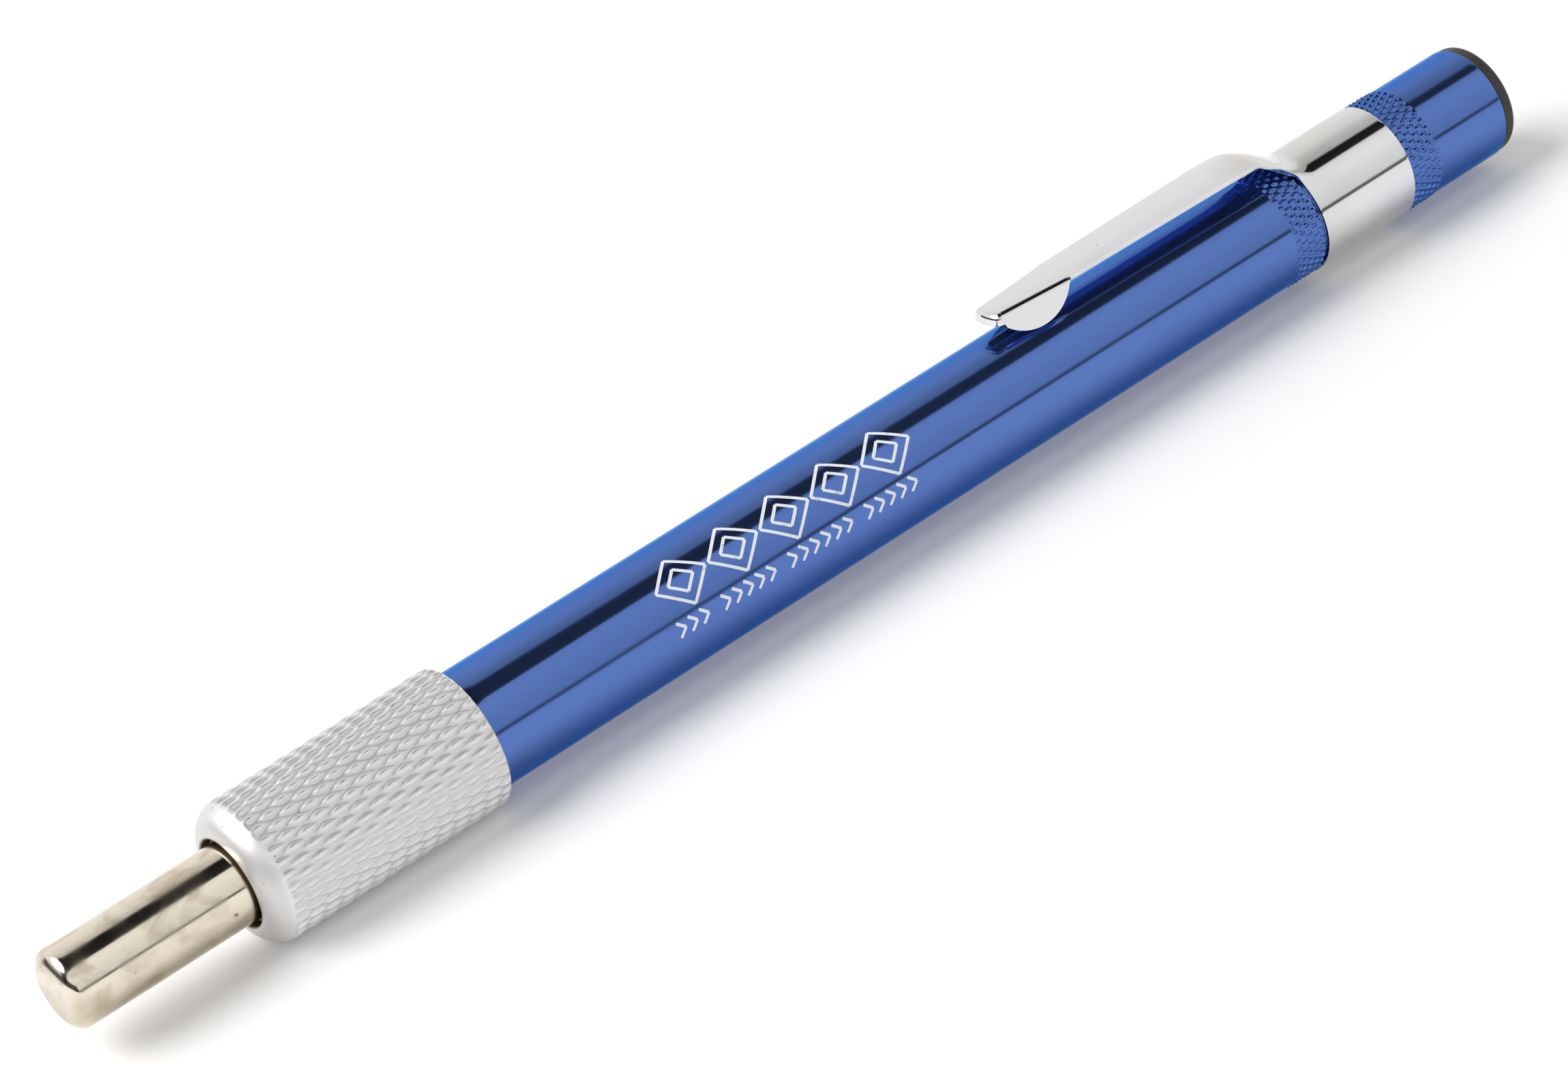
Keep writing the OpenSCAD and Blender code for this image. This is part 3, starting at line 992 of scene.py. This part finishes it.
# The tent's brightness, in degrees up from the front horizon, over the top and down to the back
TENT = ((0, 0.15, PLAIN), (4.5, 0.15, PLAIN), (7.5, 0.80, PLAIN), (30, 0.90, PLAIN), (50, 1.0, PLAIN),
        (66, 0.95, PLAIN), (90, 0.47, WARM), (110, 0.64, WARM), (126, 0.87, WARM), (150, 0.98, WARM),
        (172, 0.98, PLAIN), (180, 0.98, PLAIN))
# The slot's soft edges, in the same degrees; both close in by SLOT_TAPER for each unit of the direction's X
SLOT_TAPER = 38.0
SLOT_NEAREST = 0.2          # X is taken as no less than this
SLOT_FRONT = (51.0, 55.0)
SLOT_BACK = (110.0, 118.0)
SLOT_LEVEL = 0.025
# The dark room past the nose, for directions low in Z and far in -X: (all dark, all clear)
ROOM_BELOW = (0.24, 0.36)
ROOM_BEYOND = (-0.55, -0.42)
ROOM_LEVEL = 0.06
TENT_STRENGTH = 1.0
BACKDROP = 0.85
LAMP_TOWARDS = (-0.62, 0.20, 0.76)
LAMP_DISTANCE = 1.5
LAMP_SIZE = 1.2
LAMP_POWER = 20.0
TABLE_PAINTED_GLOW = 0.09           # painted glow: the table gives off a little light of its own, which lifts its shadows
# The photo's camera: millimetres from the nose, then degrees and the lens in millimetres
CAMERA_PLACE = (-103.3, -301.2, 173.9)
CAMERA_AZIMUTH = -29.31
CAMERA_ELEVATION = 26.82
CAMERA_ROLL = -18.14
CAMERA_LENS = 119.38
TABLE_HALF = 2.0            # metres


def floor():
    """A plain white table, far larger than the view."""
    mesh = bpy.data.meshes.new("floor")
    corners = [(x * TABLE_HALF, y * TABLE_HALF, 0) for x, y in ((-1, -1), (1, -1), (1, 1), (-1, 1))]
    mesh.from_pydata(corners, [], [(0, 1, 2, 3)])
    obj = bpy.data.objects.new("floor", mesh)
    bpy.context.scene.collection.objects.link(obj)
    s = Shader("table_white", (0.86, 0.86, 0.86), 0.0, 0.7)
    grain = s.noise(300)
    s.color(s.mix(grain, (0.855, 0.855, 0.855), (0.865, 0.865, 0.865)))
    # painted glow: the table shines by itself, though nothing lights it from below
    s.body.inputs["Emission Color"].default_value = (1, 1, 1, 1)
    s.body.inputs["Emission Strength"].default_value = TABLE_PAINTED_GLOW
    mesh.materials.append(s.material)


class Sky:
    """A small builder round the world's nodes."""

    def __init__(self, name):
        self.world = bpy.data.worlds.new(name)
        self.world.use_nodes = True
        self.tree = self.world.node_tree
        self.link = self.tree.links.new

    def sums(self, operation, first, second):
        made = self.tree.nodes.new("ShaderNodeMath")
        made.operation = operation
        for place, value in enumerate((first, second)):
            if isinstance(value, (int, float)):
                made.inputs[place].default_value = value
            else:
                self.link(value, made.inputs[place])
        return made.outputs[0]

    def step(self, value, low, high, at_low, at_high):
        """A smooth step from at_low to at_high between low and high."""
        made = self.tree.nodes.new("ShaderNodeMapRange")
        made.interpolation_type = "SMOOTHSTEP"
        self.link(value, made.inputs["Value"])
        for name, number in zip(("From Min", "From Max", "To Min", "To Max"), (low, high, at_low, at_high)):
            made.inputs[name].default_value = number
        return made.outputs["Result"]


def tent_color(sky, angle):
    """The tent's walls and roof, by the angle round the pen."""
    ramp = sky.tree.nodes.new("ShaderNodeValToRGB")
    sky.link(sky.sums("DIVIDE", angle, math.pi), ramp.inputs["Fac"])
    elements = ramp.color_ramp.elements
    while len(elements) < len(TENT):
        elements.new(0.5)
    for element, (degrees, level, tint) in zip(elements, TENT):
        element.position = degrees / 180
        element.color = (level * tint[0], level * tint[1], level * tint[2], 1)
    return ramp.outputs["Color"]


def tent_slot(sky, parts, angle):
    """The dark slot overhead, which narrows towards the tail."""
    turn = sky.sums("MULTIPLY", angle, 180 / math.pi)
    along = sky.sums("MAXIMUM", parts.outputs["X"], SLOT_NEAREST)
    ahead = sky.sums("SUBTRACT", turn, sky.sums("MULTIPLY", along, SLOT_TAPER))
    below = sky.step(ahead, *SLOT_FRONT, 0.0, 1.0)
    behind = sky.sums("ADD", turn, sky.sums("MULTIPLY", along, SLOT_TAPER))
    above = sky.step(behind, *SLOT_BACK, 1.0, 0.0)
    return sky.step(sky.sums("MULTIPLY", below, above), 0, 1, 1.0, SLOT_LEVEL)


def tent_room(sky, parts):
    """Past the nose the tent is open near the table, and the dark room shows."""
    low_down = sky.step(parts.outputs["Z"], *ROOM_BELOW, 1.0, 0.0)
    past_nose = sky.step(parts.outputs["X"], *ROOM_BEYOND, 1.0, 0.0)
    return sky.step(sky.sums("MULTIPLY", low_down, past_nose), 0, 1, 1.0, ROOM_LEVEL)


def tent():
    """A white tent with a dark slot overhead, along the pen, open to a dark room past the nose."""
    sky = Sky("studio")
    nodes, link = sky.tree.nodes, sky.link
    bpy.context.scene.world = sky.world
    coords = nodes.new("ShaderNodeTexCoord")
    parts = nodes.new("ShaderNodeSeparateXYZ")
    link(coords.outputs["Generated"], parts.inputs["Vector"])
    up = sky.sums("MAXIMUM", parts.outputs["Z"], 0.0)
    angle = sky.sums("ARCTAN2", up, sky.sums("MULTIPLY", parts.outputs["Y"], -1))
    color = tent_color(sky, angle)
    slot = tent_slot(sky, parts, angle)
    room = tent_room(sky, parts)
    link(color, nodes["Background"].inputs["Color"])
    lit = sky.sums("MULTIPLY", sky.sums("MULTIPLY", room, slot), TENT_STRENGTH)
    link(lit, nodes["Background"].inputs["Strength"])
    # seen straight on, past the table's edge, the backdrop is plain
    backdrop = nodes.new("ShaderNodeBackground")
    backdrop.inputs["Color"].default_value = (BACKDROP, BACKDROP, BACKDROP, 1)
    rays = nodes.new("ShaderNodeLightPath")
    either = nodes.new("ShaderNodeMixShader")
    link(rays.outputs["Is Camera Ray"], either.inputs["Fac"])
    link(nodes["Background"].outputs["Background"], either.inputs[1])
    link(backdrop.outputs["Background"], either.inputs[2])
    link(either.outputs["Shader"], nodes["World Output"].inputs["Surface"])


def softbox():
    """One soft lamp, high beyond the nose."""
    lamp = bpy.data.lights.new("softbox", "AREA")
    lamp.shape = "DISK"
    lamp.size = LAMP_SIZE
    lamp.energy = LAMP_POWER
    obj = bpy.data.objects.new("softbox", lamp)
    bpy.context.scene.collection.objects.link(obj)
    towards = Vector(LAMP_TOWARDS).normalized()
    obj.location = towards * LAMP_DISTANCE
    obj.rotation_euler = towards.to_track_quat("Z", "Y").to_euler()


def camera():
    """The photo's own view, by the camera that was fitted to the pen's outline in it."""
    data = bpy.data.cameras.new("camera")
    data.lens = CAMERA_LENS
    data.sensor_width = 36
    data.clip_start = 0.01
    obj = bpy.data.objects.new("camera", data)
    bpy.context.scene.collection.objects.link(obj)
    obj.location = Vector(CAMERA_PLACE) * MM + Vector((NOSE_X, 0, AXIS_Z))
    aim = (Euler((0, 0, math.radians(CAMERA_AZIMUTH))).to_matrix()
           @ Euler((math.radians(90 - CAMERA_ELEVATION), 0, 0)).to_matrix()
           @ Euler((0, 0, math.radians(CAMERA_ROLL))).to_matrix())
    obj.rotation_euler = aim.to_euler()
    bpy.context.scene.camera = obj


camera()
floor()
tent()
softbox()
barrel()
barrel_print()
chuck_nut()
thread_bushing()
rod_shank()
diamond_rod()
pocket_clip()
end_plug()
carried_over()
bpy.context.scene.view_settings.view_transform = "Standard"
